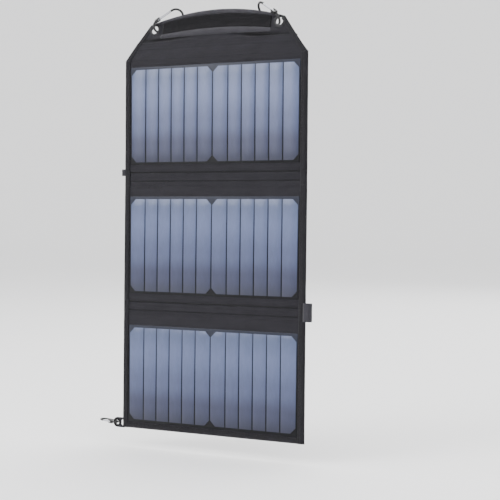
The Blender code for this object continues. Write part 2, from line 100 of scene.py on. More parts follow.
# the lower two folds: how far below the section above their creases lie
FOLD_REACH = 2 * MM
CREASES = (MM, 13.5 * MM)
CREASE_HALF = 0.8 * MM

# sewing
STITCH_PITCH = 3.4 * MM
STITCH_LENGTH = 2.5 * MM
STITCH_R = 0.28 * MM
# along a stitch: share of its length, share of its radius, height above the cloth in radii
STITCH_PROFILE = ((0, 0.35, -0.6), (0.18, 0.9, 0.3), (0.5, 1, 0.6), (0.82, 0.9, 0.3), (1, 0.35, -0.6))
STITCH_SINK = 0.42 * MM

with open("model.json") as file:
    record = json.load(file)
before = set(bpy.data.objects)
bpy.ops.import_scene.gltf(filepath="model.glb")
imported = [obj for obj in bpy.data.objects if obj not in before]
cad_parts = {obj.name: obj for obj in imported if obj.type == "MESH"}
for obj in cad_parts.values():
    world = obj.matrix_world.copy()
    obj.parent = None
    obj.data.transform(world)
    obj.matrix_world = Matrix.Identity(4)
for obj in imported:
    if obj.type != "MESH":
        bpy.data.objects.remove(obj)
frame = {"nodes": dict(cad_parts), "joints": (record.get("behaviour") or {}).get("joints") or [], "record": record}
cad_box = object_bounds()
JOINTS = {joint["name"]: joint for joint in frame["joints"]}
MOUNTS = {mount["name"]: mount for mount in frame["record"]["mounts"]}


# ---------------------------------------------------------------- frames


def frame_at(joint, out):
    """Matrix of a sheet's frame, from its hinge and the direction out of its back."""
    across = Vector((1, 0, 0))
    matrix = Matrix((across, out, across.cross(out))).transposed().to_4x4()
    matrix.translation = JOINTS[joint]["pos_m"]
    return matrix


def flap_frame():
    """The flap's frame: its lean follows from where its two hinges are."""
    swing, fold = Vector(JOINTS["flap_swing"]["pos_m"]), Vector(JOINTS["fold_top"]["pos_m"])
    way = fold - swing
    flat = math.atan2(-FLAP_BASE - STRIPS["a"] / 2, -FOLD_OFFSETS["a"])
    lean = flat - math.atan2(way.z, way.y)
    return frame_at("flap_swing", Vector((0, math.cos(lean), -math.sin(lean))))


FLAP = flap_frame()
SECTIONS = {k: frame_at(HINGES[k], Vector(MOUNTS[REAR_FACES[k]]["axis"])) for k in "abc"}


def top_z(key):
    return -STRIPS[key] / 2


def low_z(key):
    return top_z(key) - sum(HEMS[key]) - LAMINATE_H


def smooth(x, low, high):
    """0 below low, 1 above high, and a soft step between them."""
    t = min(max((x - low) / (high - low), 0.0), 1.0)
    return t * t * (3 - 2 * t)


def hump(x, centre, width):
    return math.exp(-(((x - centre) / width) ** 2))


def drift(x, z, size, seed):
    """Slow random unevenness between about -1 and 1."""
    return noise.noise(Vector((x / size, z / size, seed)))


# ---------------------------------------------------------------- mesh building


def add_mesh(name, bm, look, smooth_faces=True):
    mesh = bpy.data.meshes.new(name)
    for face in bm.faces:
        face.smooth = smooth_faces
    bm.normal_update()
    bm.to_mesh(mesh)
    bm.free()
    obj = bpy.data.objects.new(name, mesh)
    bpy.context.scene.collection.objects.link(obj)
    mesh.materials.append(look)
    return obj


def loft_into(bm, rings, closed=True, caps=True):
    """Faces between rings of points, with flat positions in metres as their UVs."""
    layer = bm.loops.layers.uv.verify()
    verts = [[bm.verts.new(point) for point in ring] for ring in rings]
    count = len(rings[0])
    along = 0.0
    for j in range(len(rings) - 1):
        step = (rings[j + 1][count // 2] - rings[j][count // 2]).length
        around = 0.0
        for i in range(count if closed else count - 1):
            k = (i + 1) % count
            width = (rings[j][k] - rings[j][i]).length
            face = bm.faces.new((verts[j][i], verts[j][k], verts[j + 1][k], verts[j + 1][i]))
            corners = ((0, 0), (width, 0), (width, step), (0, step))
            for loop, (u, v) in zip(face.loops, corners):
                loop[layer].uv = (around + u, along + v)
            around += width
        along += step
    if caps and closed:
        bm.faces.new(verts[0][::-1])
        bm.faces.new(verts[-1])


def loft(name, rings, look, closed=True, caps=True):
    bm = bmesh.new()
    loft_into(bm, rings, closed, caps)
    bmesh.ops.recalc_face_normals(bm, faces=bm.faces)
    return add_mesh(name, bm, look)


def cloth(name, rings, look, thickness=CLOTH_T):
    """An open surface given some thickness."""
    obj = loft(name, rings, look, closed=False)
    solid = obj.modifiers.new("thickness", "SOLIDIFY")
    solid.thickness = thickness
    solid.offset = 0
    return obj


def shares(count):
    return [i / count for i in range(count + 1)]


def tape_section(front, rear, width, wall):
    """A folded tape's outline as (inward, back) from the edge it wraps, round at the fold."""
    radius, middle = (rear - front) / 2, (front + rear) / 2
    outline = []
    for inset, way in ((0.0, 1), (wall, -1)):
        r = radius - inset
        dips = ((0, 0.92), (1.6 * MM, 0.84), (3.2 * MM, 1))
        leg = [(width - back, middle - r * share) for back, share in dips]
        turns = [math.pi * (i / 10 - 0.5) for i in range(11)]
        bend = [(inset + r * (1 - math.cos(t)), middle + r * math.sin(t)) for t in turns]
        side = leg + bend + [(width - back, middle + r * share) for back, share in reversed(dips)]
        outline += side[::way]
    return outline


def tape_rings(matrix, path, section_at):
    """Rings of a tape along a path of (edge point, inward direction), both in the sheet's frame."""
    rings = []
    for share, (edge, inward) in path:
        back = Vector((0, 1, 0))
        ring = [edge + inward * a + back * b for a, b in section_at(share)]
        rings.append([matrix @ point for point in ring])
    return rings


def stitch_into(bm, start, end, out):
    """One stitch: a short thread that dives into the cloth at both ends."""
    way = (end - start).normalized()
    side = way.cross(out).normalized()
    rings = []
    for share, radius, height in STITCH_PROFILE:
        centre = start.lerp(end, share) + out * height * STITCH_R
        turns = [2 * math.pi * i / 6 for i in range(6)]
        ring = [centre + (side * math.cos(t) + out * math.sin(t)) * radius * STITCH_R for t in turns]
        rings.append(ring)
    loft_into(bm, rings)


def stitching(name, lines, body=None):
    """A row of stitches along each line, given as (points, outward direction)."""
    bm = bmesh.new()
    for points, out in lines:
        left, carry = STITCH_PITCH / 2, 0.0
        for a, b in zip(points, points[1:]):
            span = (b - a).length
            at = left - carry
            while at + STITCH_LENGTH < span:
                stitch_into(bm, a.lerp(b, at / span), a.lerp(b, (at + STITCH_LENGTH) / span), out)
                at += STITCH_PITCH
            left, carry = STITCH_PITCH / 2, 0.0
    bmesh.ops.recalc_face_normals(bm, faces=bm.faces)
    obj = add_mesh(name, bm, THREAD)
    if body:
        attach(obj, body)
    return obj


# ---------------------------------------------------------------- materials


def node(look, kind, inputs=(), **settings):
    """A shader node; inputs is a list of (socket, value or output to link)."""
    made = look.node_tree.nodes.new(kind)
    for key, value in settings.items():
        setattr(made, key, value)
    for socket, value in inputs:
        if isinstance(value, bpy.types.NodeSocket):
            look.node_tree.links.new(value, made.inputs[socket])
        else:
            made.inputs[socket].default_value = value
    return made


def maths(look, operation, a, b=0.0):
    return node(look, "ShaderNodeMath", [(0, a), (1, b)], operation=operation).outputs[0]


def new_look(name, **sockets):
    """A Principled material; sockets are its constant values by name."""
    look = bpy.data.materials.new(name)
    look.use_nodes = True
    shader = look.node_tree.nodes["Principled BSDF"]
    for key, value in sockets.items():
        shader.inputs[key.replace("_", " ").title().replace("Ior", "IOR")].default_value = value
    return look, shader


def linked(look, shader, socket, output):
    look.node_tree.links.new(output, shader.inputs[socket])


def rgb(red, green, blue):
    """Display values from 0 to 255 as a linear colour."""
    def one(value):
        share = value / 255
        return share / 12.92 if share <= 0.04045 else ((share + 0.055) / 1.055) ** 2.4
    return (one(red), one(green), one(blue), 1)


def blend_colours(look, factor, a, b):
    mix = node(look, "ShaderNodeMix", [(0, factor), (6, a), (7, b)], data_type="RGBA")
    return mix.outputs[2]


def multiply_colours(look, a, b):
    inputs = [(0, 1.0), (6, a), (7, b)]
    mix = node(look, "ShaderNodeMix", inputs, data_type="RGBA", blend_type="MULTIPLY")
    return mix.outputs[2]


def coordinates(look, source, scale):
    """Flat positions in metres (UV) or places (Object), scaled."""
    place = node(look, "ShaderNodeTexCoord").outputs[source]
    return node(look, "ShaderNodeMapping", [("Vector", place), ("Scale", scale)]).outputs[0]


def noise_map(look, source, scale, detail=3.0, roughness=0.5):
    vector = coordinates(look, source, scale)
    sockets = [("Vector", vector), ("Scale", 1.0), ("Detail", detail), ("Roughness", roughness)]
    return node(look, "ShaderNodeTexNoise", sockets).outputs[0]


def woven(name, colour, pitch, source="UV", depth=0.12 * MM, ribs=0.0, sheen=0.08, crease_shades=(), shaded=False):
    """Plain weave: crossed threads of the given pitch with painted shade in their valleys, uneven dye and a soft
    nap.

    ribs, where given, is the pitch of raised cords along the cloth, as webbing has.
    Lines of painted shade across it, in its creases, are given as (height, half width, share of the colour left)."""
    look, shader = new_look(name, roughness=0.82, sheen_weight=sheen, sheen_roughness=0.45)
    shader.inputs["Specular IOR Level"].default_value = 0.15
    turn = 2 * math.pi / pitch
    place = node(look, "ShaderNodeSeparateXYZ", [(0, coordinates(look, source, (turn, turn, turn)))])
    up = place.outputs["Y" if source == "UV" else "Z"]
    across, along = maths(look, "SINE", place.outputs["X"]), maths(look, "SINE", up)
    height = maths(look, "MULTIPLY", across, along)
    height = maths(look, "ADD", height, noise_map(look, source, (900, 900, 900), 2.0))
    if ribs:
        cord = coordinates(look, source, (2 * math.pi / ribs,) * 3)
        cords = node(look, "ShaderNodeSeparateXYZ", [(0, cord)]).outputs["X"]
        height = maths(look, "ADD", height, maths(look, "MULTIPLY", maths(look, "SINE", cords), 1.6))
    dark = tuple(c * 0.62 for c in colour[:3]) + (1,)
    light = tuple(min(c * 1.3, 1) for c in colour[:3]) + (1,)
    cloudy = noise_map(look, source, (38, 60, 45), 4.0, 0.6)
    # painted shade: the colour darkens in the weave's valleys; cloudy noise adds uneven dye
    share = maths(look, "ADD", maths(look, "MULTIPLY", height, 0.22), cloudy)
    spread = node(look, "ShaderNodeMapRange", [(0, share), (1, 0.2), (2, 0.95)]).outputs[0]
    dye_and_painted_shade = blend_colours(look, spread, dark, light)
    level = node(look, "ShaderNodeSeparateXYZ", [(0, coordinates(look, source, (1, 1, 1)))]).outputs["Y"]
    # painted shade along each crease
    for centre, half, left in crease_shades:
        away = maths(look, "ABSOLUTE", maths(look, "SUBTRACT", level, centre))
        near = node(look, "ShaderNodeMapRange", [(0, away), (1, half * 0.4), (2, half), (3, 1.0), (4, 0.0)])
        deep = tuple(c * left for c in colour[:3]) + (1,)
        dye_and_painted_shade = blend_colours(look, near.outputs[0], dye_and_painted_shade, deep)
    if shaded:
        kept = node(look, "ShaderNodeVertexColor", layer_name="shade").outputs[0]
        dye_and_painted_shade = multiply_colours(look, dye_and_painted_shade, kept)
    linked(look, shader, "Base Color", dye_and_painted_shade)
    bump = node(look, "ShaderNodeBump", [("Strength", 0.8), ("Distance", depth), ("Height", height)])
    linked(look, shader, "Normal", bump.outputs[0])
    return look


def graded(look, colours):
    """Colours up the laminate, from its lower edge, as (share, colour)."""
    up = node(look, "ShaderNodeSeparateXYZ", [(0, coordinates(look, "UV", (1, 1 / LAMINATE_H, 1)))])
    ramp = node(look, "ShaderNodeValToRGB", [(0, up.outputs["Y"])])
    while len(ramp.color_ramp.elements) < len(colours):
        ramp.color_ramp.elements.new(0.5)
    for element, (share, colour) in zip(ramp.color_ramp.elements, colours):
        element.position = share
        element.color = colour
    ramp.color_ramp.interpolation = "EASE"
    return ramp.outputs[0]


def cell_look():
    """Blue-grey silicon under satin film: fine upright grain and a painted reflection fading downwards."""
    gloss = {"roughness": 0.42, "metallic": 0.2, "coat_weight": 0.3, "coat_roughness": 0.24}
    look, shader = new_look("silicon_under_film", **gloss)
    shader.inputs["Specular IOR Level"].default_value = 0.3
    # painted reflection of a softbox: paler up the cells, dark at their foot
    base = graded(look, CELL_COLOURS_WITH_PAINTED_REFLECTION)
    grain = noise_map(look, "UV", (2600, 90, 1), 3.0, 0.65)
    patch = noise_map(look, "UV", (150, 60, 1), 3.0)
    share = maths(look, "ADD", maths(look, "MULTIPLY", grain, 0.7), maths(look, "MULTIPLY", patch, 0.3))
    spread = [(0, share), (1, 0.3), (2, 0.7), (3, 0.84), (4, 1.16)]
    factor = node(look, "ShaderNodeMapRange", spread).outputs[0]
    grey = node(look, "ShaderNodeCombineColor", [(0, factor), (1, factor), (2, factor)]).outputs[0]
    linked(look, shader, "Base Color", multiply_colours(look, base, grey))
    bump = node(look, "ShaderNodeBump", [("Strength", 0.25), ("Distance", 0.04 * MM), ("Height", grain)])
    linked(look, shader, "Normal", bump.outputs[0])
    return look


def plate_look():
    """Dark backsheet seen between the cells, paler towards the top with a painted reflection."""
    look, shader = new_look("backsheet_under_film", roughness=0.45, coat_weight=0.1, coat_roughness=0.22)
    shader.inputs["Specular IOR Level"].default_value = 0.12
    dust = noise_map(look, "UV", (700, 700, 1), 4.0, 0.7)
    # painted reflection of a softbox: the backsheet paler towards the top
    base = graded(look, PLATE_COLOURS_WITH_PAINTED_REFLECTION)
    film = maths(look, "MULTIPLY", dust, 0.06)
    linked(look, shader, "Base Color", blend_colours(look, film, base, rgb(60, 62, 72)))
    bump = node(look, "ShaderNodeBump", [("Strength", 0.3), ("Distance", 0.03 * MM), ("Height", dust)])
    linked(look, shader, "Normal", bump.outputs[0])
    return look


def hard_look(name, colour, roughness, metallic=0.0, grain=(300, 300, 300), wear=0.25, coat=0.0):
    """Metal or moulded plastic with fine scratches or texture and slightly uneven gloss."""
    look, shader = new_look(name, metallic=metallic, coat_weight=coat, coat_roughness=0.2)
    marks = noise_map(look, "Object", grain, 5.0, 0.7)
    light = tuple(min(c * (1 + wear) + 0.01 * wear, 1) for c in colour[:3]) + (1,)
    dark = tuple(c * (1 - wear) for c in colour[:3]) + (1,)
    linked(look, shader, "Base Color", blend_colours(look, marks, dark, light))
    spread = [(0, marks), (1, 0.25), (2, 0.75), (3, roughness * 0.8), (4, roughness * 1.25)]
    gloss = node(look, "ShaderNodeMapRange", spread)
    linked(look, shader, "Roughness", gloss.outputs[0])
    bump = node(look, "ShaderNodeBump", [("Strength", 0.3), ("Distance", 0.03 * MM), ("Height", marks)])
    linked(look, shader, "Normal", bump.outputs[0])
    return look


# colours up a laminate, from the lower edge; the paler upper part is a painted reflection
CELL_COLOURS_WITH_PAINTED_REFLECTION = [
    (0.0, rgb(27, 30, 48)),
    (0.2, rgb(39, 44, 68)),
    (0.42, rgb(60, 68, 97)),
    (0.72, rgb(73, 83, 114)),
    (1.0, rgb(62, 72, 98)),
]
PLATE_COLOURS_WITH_PAINTED_REFLECTION = [
    (0.0, rgb(2, 2, 4)),
    (0.35, rgb(4, 5, 9)),
    (0.75, rgb(14, 16, 24)),
    (1.0, rgb(34, 37, 48)),
]
FABRIC = woven("woven_fabric", rgb(29, 28, 33), 0.55 * MM)
FLAP_FABRIC = woven("woven_flap_fabric", rgb(29, 28, 33), 0.55 * MM, shaded=True)
# painted shade in the two creases of each lower fold
FOLD_CREASE_SHADES = ((FOLD_REACH + CREASES[0], 1.7 * MM, 0.15), (FOLD_REACH + CREASES[1], 1.2 * MM, 0.4))
FOLD_FABRIC = woven("woven_fold_fabric", rgb(28, 27, 32), 0.55 * MM, crease_shades=FOLD_CREASE_SHADES)
BACK_FABRIC = woven("woven_back_fabric", rgb(22, 21, 25), 0.55 * MM)
TAPE = woven("binding_tape", rgb(23, 22, 26), 0.5 * MM, ribs=1.4 * MM)
LIGHT_BAND = woven("light_band", rgb(46, 45, 50), 0.6 * MM, sheen=0.12)
NET = woven("net_thread", rgb(26, 25, 30), 0.5 * MM, sheen=0.1)
NET_LINING = woven("net_lining", rgb(8, 8, 10), 0.6 * MM, sheen=0.1)
WEBBING = woven("webbing", rgb(44, 43, 48), 0.8 * MM, ribs=1.6 * MM, sheen=0.1)
THREAD = woven("thread", rgb(18, 17, 20), 0.4 * MM, source="Object", depth=0.05 * MM)
CELLS = cell_look()
PLATE = plate_look()
STEEL = hard_look("bright_metal", rgb(168, 169, 174), 0.28, 1.0, (90, 90, 900), 0.12)
GUNMETAL = hard_look("gunmetal", rgb(22, 22, 24), 0.42, 0.8, (700, 700, 700), 0.2)
BLACK_METAL = hard_look("black_anodised_metal", rgb(12, 12, 14), 0.36, 0.5, (500, 500, 500), 0.35, 0.3)
PLASTIC = hard_look("black_plastic", rgb(14, 14, 15), 0.5, 0.0, (1500, 1500, 1500), 0.3)
LEAD = hard_look("lead_sheath", rgb(20, 20, 22), 0.55, 0.0, (800, 800, 800), 0.2)
CIRCUIT = hard_look("circuit_board", rgb(30, 84, 52), 0.5, 0.0, (900, 900, 900), 0.3, 0.4)
LENS = hard_look("light_lens", rgb(210, 214, 220), 0.2, 0.0, (400, 400, 400), 0.05, 0.6)


# ---------------------------------------------------------------- sections


def strip_outlines():
    """Each strip of both cells as a closed outline in X and height, chamfered at a cell's corners."""
    field = 4 * END_STRIP_W + 8 * STRIP_W + 11 * CELL_GAP
    left, low = -field / 2, (LAMINATE_H - CELL_H) / 2
    high = low + CELL_H
    outlines = []
    for i in range(STRIP_COUNT):
        place = i % 6
        width = END_STRIP_W if place in (0, 5) else STRIP_W
        right = left + width
        cut_left, cut_right = (CELL_CHAMFER if place == 0 else 0), (CELL_CHAMFER if place == 5 else 0)
        taper = 0.22 * MM
        outline = [(left + cut_left + taper, low), (right - cut_right - taper, low)]
        if cut_right:
            outline += [(right - taper, low + cut_right), (right, high - cut_right)]
        outline += [(right - cut_right, high), (left + cut_left, high)]
        if cut_left:
            outline += [(left, high - cut_left), (left + taper, low + cut_left)]
        outlines.append(outline)
        left = right + CELL_GAP
    return outlines


def raised(bm, outline, low_y, high_y, inset=0.25 * MM):
    """A plate with a softened rim, standing forward from low_y to high_y."""
    layer = bm.loops.layers.uv.verify()
    middle_x = sum(x for x, z in outline) / len(outline)
    middle_z = sum(z for x, z in outline) / len(outline)
    rims = []
    for y, shrink in ((low_y, 0), (high_y + inset * 0.4, 0), (high_y, inset)):
        rim = []
        for x, z in outline:
            to_x = max(min(middle_x - x, shrink), -shrink)
            to_z = max(min(middle_z - z, shrink), -shrink)
            rim.append(bm.verts.new((x + to_x, y, z + to_z)))
        rims.append(rim)
    count = len(outline)
    faces = [bm.faces.new(rims[-1]), bm.faces.new(rims[0][::-1])]
    for one, other in zip(rims, rims[1:]):
        for i in range(count):
            faces.append(bm.faces.new((one[i], one[(i + 1) % count], other[(i + 1) % count], other[i])))
    for face in faces:
        for loop in face.loops:
            loop[layer].uv = (loop.vert.co.x, loop.vert.co.z)


def rounded_rectangle(half, low, high, radius, count=5):
    corners = ((half, low, -90), (half, high, 0), (-half, high, 90), (-half, low, 180))
    points = []
    for x, z, start in corners:
        cx = x - math.copysign(radius, x)
        cz = z + (radius if z == low else -radius)
        for i in range(count):
            turn = math.radians(start + 90 * i / (count - 1))
            points.append((cx + radius * math.cos(turn), cz + radius * math.sin(turn)))
    return points


def bow_and_place(obj, key):
    """Give a flat laminate piece its slight bow and put it in its section's frame."""
    bm = bmesh.new()
    bm.from_mesh(obj.data)
    for i in range(1, 9):
        everything = bm.verts[:] + bm.edges[:] + bm.faces[:]
        height = LAMINATE_H * i / 9
        bmesh.ops.bisect_plane(bm, geom=everything, plane_co=(0, 0, height), plane_no=(0, 0, 1))
    for vert in bm.verts:
        share = 2 * vert.co.z / LAMINATE_H - 1
        across = vert.co.x / (LAMINATE_W / 2)
        vert.co.y -= BOW * (1 - share * share) * (1 - across * across)
    base = Matrix.Translation((0, FOLD_OFFSETS[key], top_z(key) - HEMS[key][0] - LAMINATE_H))
    bmesh.ops.recalc_face_normals(bm, faces=bm.faces)
    bm.transform(SECTIONS[key] @ base)
    bm.to_mesh(obj.data)
    bm.free()
    obj.data.set_sharp_from_angle(angle=math.radians(35))


def laminate(key):
    """The laminate's dark plate and its twelve raised cell strips."""
    bm = bmesh.new()
    outline = rounded_rectangle(LAMINATE_W / 2, 0, LAMINATE_H, 1.2 * MM)
    raised(bm, outline, PLATE_Y[1], PLATE_Y[0])
    plate = add_mesh(BODIES[key] + "_laminate_plate", bm, PLATE)
    bm = bmesh.new()
    for outline in strip_outlines():
        raised(bm, outline, PLATE_Y[0] + 0.05 * MM, PLATE_Y[0] - CELL_LIFT, 0.12 * MM)
    cells = add_mesh(BODIES[key] + "_cell_strips", bm, CELLS)
    for piece, slot in ((plate, "laminate"), (cells, "solar_cell")):
        bow_and_place(piece, key)
        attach(piece, BODIES[key])
    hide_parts(BODIES[key] + "_laminate", BODIES[key] + "_film")
    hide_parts(BODIES[key] + "_cells")


def cover(key, name, y, look, forward):
    """A section's front or back cloth, drawn tight between its bindings."""
    half = SHEET_W / 2 - 1.2 * MM
    top, low = top_z(key), low_z(key)
    middle = FOLD_OFFSETS[key]
    laminate_top = top - HEMS[key][0]
    laminate_low = laminate_top - LAMINATE_H
    rows = []
    for v in shares(72):
        z = low + (top - low) * v
        row = []
        for u in shares(60):
            x = half * (2 * u - 1)
            rise = 0.12 * MM * drift(x, z, 22 * MM, 3.1) + 0.1 * MM * drift(x, z, 7 * MM, 9.4)
            if forward:
                hem = hump(z, top - 5.2 * MM, 2.6 * MM) + hump(z, low + 5 * MM, 2.8 * MM)
                rib = math.sin((z - low) / (1.7 * MM) * math.pi) * 0.05 * MM
                outside = z > laminate_top or z < laminate_low
                rise += (hem * 0.5 * MM + rib) * outside
                edge = min(top - z, z - low)
                rise -= 0.5 * MM * (1 - smooth(edge, 0, 1.6 * MM))
            row.append(SECTIONS[key] @ Vector((x, middle + y - forward * rise, z)))
        rows.append(row)
    obj = cloth(BODIES[key] + name, rows, look)
    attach(obj, BODIES[key])
    return obj


def side_tape(key, side, sign):
    """Folded tape over one side edge, a little uneven along its length."""
    matrix = SECTIONS[key] @ Matrix.Translation((0, FOLD_OFFSETS[key], 0))
    path = []
    for v in shares(64):
        z = low_z(key) + (top_z(key) - low_z(key)) * v
        wander = 0.18 * MM * drift(z, sign, 16 * MM, 5.5)
        path.append((v, (Vector((sign * (SHEET_W / 2 + wander), 0, z)), Vector((-sign, 0, 0)))))

    def section_at(share):
        pucker = 0.1 * MM * math.sin(share * 153 * MM / STITCH_PITCH * 2 * math.pi)
        return tape_section(TAPE_Y[0] + pucker, TAPE_Y[1] - pucker, TAPE_W, TAPE_T)

    obj = loft(f"{BODIES[key]}_edge_tape_{side}", tape_rings(matrix, path, section_at), TAPE)
    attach(obj, BODIES[key])
    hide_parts(f"{BODIES[key]}_binding_{side}")
    return obj


def section_lines(key):
    """Where a section is sewn: down its tapes, and along both ends on the front."""
    matrix = SECTIONS[key] @ Matrix.Translation((0, FOLD_OFFSETS[key], 0))
    out_front = (SECTIONS[key].to_3x3() @ Vector((0, -1, 0))).normalized()
    lines = []
    for sign in (-1, 1):
        x = sign * (SHEET_W / 2 - TAPE_W + 1.6 * MM)
        for y, out in ((TAPE_Y[0] + STITCH_SINK, out_front), (TAPE_Y[1] - STITCH_SINK, -out_front)):
            ends = [matrix @ Vector((x, y, z)) for z in (top_z(key) - MM, low_z(key) + MM)]
            lines.append((ends, out))
    half = SHEET_W / 2 - TAPE_W
    for z in (top_z(key) - 2.4 * MM, low_z(key) + 2.4 * MM):
        y = FRONT_CLOTH_Y - CLOTH_T / 2 - 0.1 * MM
        lines.append(([matrix @ Vector((x, y, z)) for x in (-half, half)], out_front))
        y = BACK_CLOTH_Y + CLOTH_T / 2
        lines.append(([matrix @ Vector((x, y, z)) for x in (-half, half)], -out_front))
    return lines


def section(key):
    body = BODIES[key]
    laminate(key)
    front = cover(key, "_front_cloth", FRONT_CLOTH_Y, FABRIC, 1)
    back = cover(key, "_back_cloth", BACK_CLOTH_Y, BACK_FABRIC, 0)
    tapes = [side_tape(key, side, sign) for side, sign in (("left", -1), ("right", 1))]
    thread = stitching(body + "_stitching", section_lines(key), body)
    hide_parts(body + "_front_cover")
    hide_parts(body + "_back_cover")


# ---------------------------------------------------------------- folds


def fold_ends(key):
    """Upper and lower edge frames of a fold: (matrix, Y of the middle, Z of the edge)."""
    before = {"a": "flap", "b": "a", "c": "b"}[key]
    if before == "flap":
        upper = (FLAP, 0.0, -FLAP_BASE)
    else:
        upper = (SECTIONS[before], FOLD_OFFSETS[before], low_z(before))
    return upper, (SECTIONS[key], FOLD_OFFSETS[key], top_z(key))


def fold_point(key, x, y_upper, y_lower, v, reach):
    """A point down the fold: straight out of each section for a reach, and curved between them."""
    (top, top_y, top_edge), (low, low_y, low_edge) = fold_ends(key)
    a = top @ Vector((x, top_y + y_upper, top_edge + reach))
    b = low @ Vector((x, low_y + y_lower, low_edge - reach))
    slope_a, slope_b = top.to_3x3() @ Vector((0, 0, -1)), low.to_3x3() @ Vector((0, 0, -1))
    span = (b - a).length
    h = (2 * v**3 - 3 * v**2 + 1, v**3 - 2 * v**2 + v, -2 * v**3 + 3 * v**2, v**3 - v**2)
    return a * h[0] + slope_a * span * h[1] + b * h[2] + slope_b * span * h[3]


def bend_with_fold(obj):
    """Bake the piece's placement into its mesh."""
    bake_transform(obj)


def half_width(key, v):
    """Half width of the fold's cloth: the top one widens from the flap to the first section."""
    full = SHEET_W / 2 - 1.2 * MM
    if key != "a":
        return full
    corner_x, corner_z = FLAP_CORNER
    share = STRIPS["a"] / (FLAP_BASE + STRIPS["a"] + corner_z)
    narrow = SHEET_W / 2 - (SHEET_W / 2 - corner_x) * share - 0.6 * MM
    return narrow + (full - narrow) * min(max(v, 0), 1)


def fold_cloth(key, name, y_upper, y_lower, forward, look):
    """The bare cloth between two sections, with a crease by each hem and faint ribs."""
    reach, length = FOLD_REACH, STRIPS[key]
    back = SECTIONS[key].to_3x3() @ Vector((0, 1, 0))
    rows = []
    for v in shares(44):
        depth = v * (length + 2 * reach) - reach
        crease = 1.3 * hump(depth, CREASES[0], CREASE_HALF) + 0.8 * hump(depth, CREASES[1], CREASE_HALF)
        crease *= key != "a"
        seam = 0.25 * hump(depth, length * 0.4, 0.9 * MM)
        rib = 0.12 * math.sin(depth / (1.9 * MM) * math.pi)
        pinch = 0.5 * math.sin(math.pi * min(max(depth / length, 0), 1))
        row = []
        for u in shares(60):
            x = half_width(key, depth / length) * (2 * u - 1)
            crumple = 0.25 * drift(x, depth, 9 * MM, 2.2) + 0.3 * drift(x, depth * 3, 30 * MM, 7.7)
            inward = (crease + seam + pinch + rib * 0.6 + crumple * math.sin(math.pi * v)) * MM
            point = fold_point(key, x, y_upper, y_lower, v, reach)
            row.append(point + back * inward * (0.9 if forward else -0.6))
        rows.append(row)
    obj = cloth(f"fold_{key}_{name}", rows, look)
    bend_with_fold(obj)
    return obj


def fold_tape(key, side, sign):
    """The edge tape where it runs on over a fold, thinner where no board fills it."""
    reach, length = 0.4 * MM, STRIPS[key]
    rings = []
    for v in shares(20):
        depth = v * (length + 2 * reach) - reach
        share = min(max(depth / length, 0), 1)
        x = sign * (half_width(key, share) + (0.6 if key == "a" else 1.2) * MM)
        slim = math.sin(math.pi * share)
        start = (-1.0 * MM, 1.0 * MM) if key == "a" else TAPE_Y
        front = start[0] + (TAPE_Y[0] - start[0]) * share + 0.7 * MM * slim
        rear = start[1] + (TAPE_Y[1] - start[1]) * share - 1.1 * MM * slim
        width = TAPE_W - (3 * MM if key == "a" else 0) * (1 - share)
        back = SECTIONS[key].to_3x3() @ Vector((0, 1, 0))
        edge = fold_point(key, x, 0, 0, v, reach)
        outline = tape_section(front, rear, width, TAPE_T)
        rings.append([edge + Vector((-sign, 0, 0)) * a + back * b for a, b in outline])
    obj = loft(f"fold_{key}_edge_tape_{side}", rings, TAPE)
    bend_with_fold(obj)
    return obj


def fold_lead(key):
    """The flat lead between the sections, hidden between the fold's two cloths."""
    across = [(4 + x) * MM for x in (-5, -2.5, 0, 2.5, 5)]
    rows = [[fold_point(key, x, 0.9 * MM, 1.2 * MM, v, 3 * MM) for x in across] for v in shares(24)]
    obj = cloth(f"fold_{key}_lead", rows, LEAD, 0.35 * MM)
    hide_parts("lead_" + key)
    bend_with_fold(obj)


def fold(key):
    if key == "a":
        front = fold_cloth(key, "front_cloth", -0.1 * MM, FRONT_CLOTH_Y, 1, FABRIC)
    else:
        front = fold_cloth(key, "front_cloth", FRONT_CLOTH_Y, FRONT_CLOTH_Y, 1, FOLD_FABRIC)
    rear_y = 1.9 * MM if key == "a" else BACK_CLOTH_Y
    fold_cloth(key, "back_cloth", rear_y, BACK_CLOTH_Y, 0, BACK_FABRIC)
    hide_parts("fold_strip_" + key)
    for side, sign in (("left", -1), ("right", 1)):
        fold_tape(key, side, sign)
    fold_lead(key)


# ---------------------------------------------------------------- flap


def arch(rise, drop, x):
    """Height of an arched seam across the flap at x."""
    return rise - drop * (x / FLAP_CORNER[0]) ** 2


def flap_half(z):
    """Half width of the flap at a height: its sides slope in towards the eyelets."""
    corner_x, corner_z = FLAP_CORNER
    full = FLAP_BASE + STRIPS["a"] + corner_z
    return SHEET_W / 2 - (SHEET_W / 2 - corner_x) * (z + FLAP_BASE + STRIPS["a"]) / full


def valley_z(x):
    """Height of the line along which the flap's cloth is pulled in, below the seam band."""
    if x > 0:
        return -13 * MM - 7 * MM * smooth(x, 15 * MM, 110 * MM)
    return -13 * MM - 2.5 * MM * smooth(-x, 30 * MM, 100 * MM)


def wedge(x, z):
    """How deep in shadowed folds the cloth is: two wedges, longer on the right."""
    right_half = (1 + 3.4 * smooth(x, 15 * MM, 100 * MM)) * MM
    right = smooth(x, 15 * MM, 60 * MM) * hump(z, valley_z(x) + MM, right_half)
    left = smooth(-x, 30 * MM, 60 * MM) * hump(z, valley_z(x) + MM, 2.2 * MM)
    return min(right + left, 1.0)


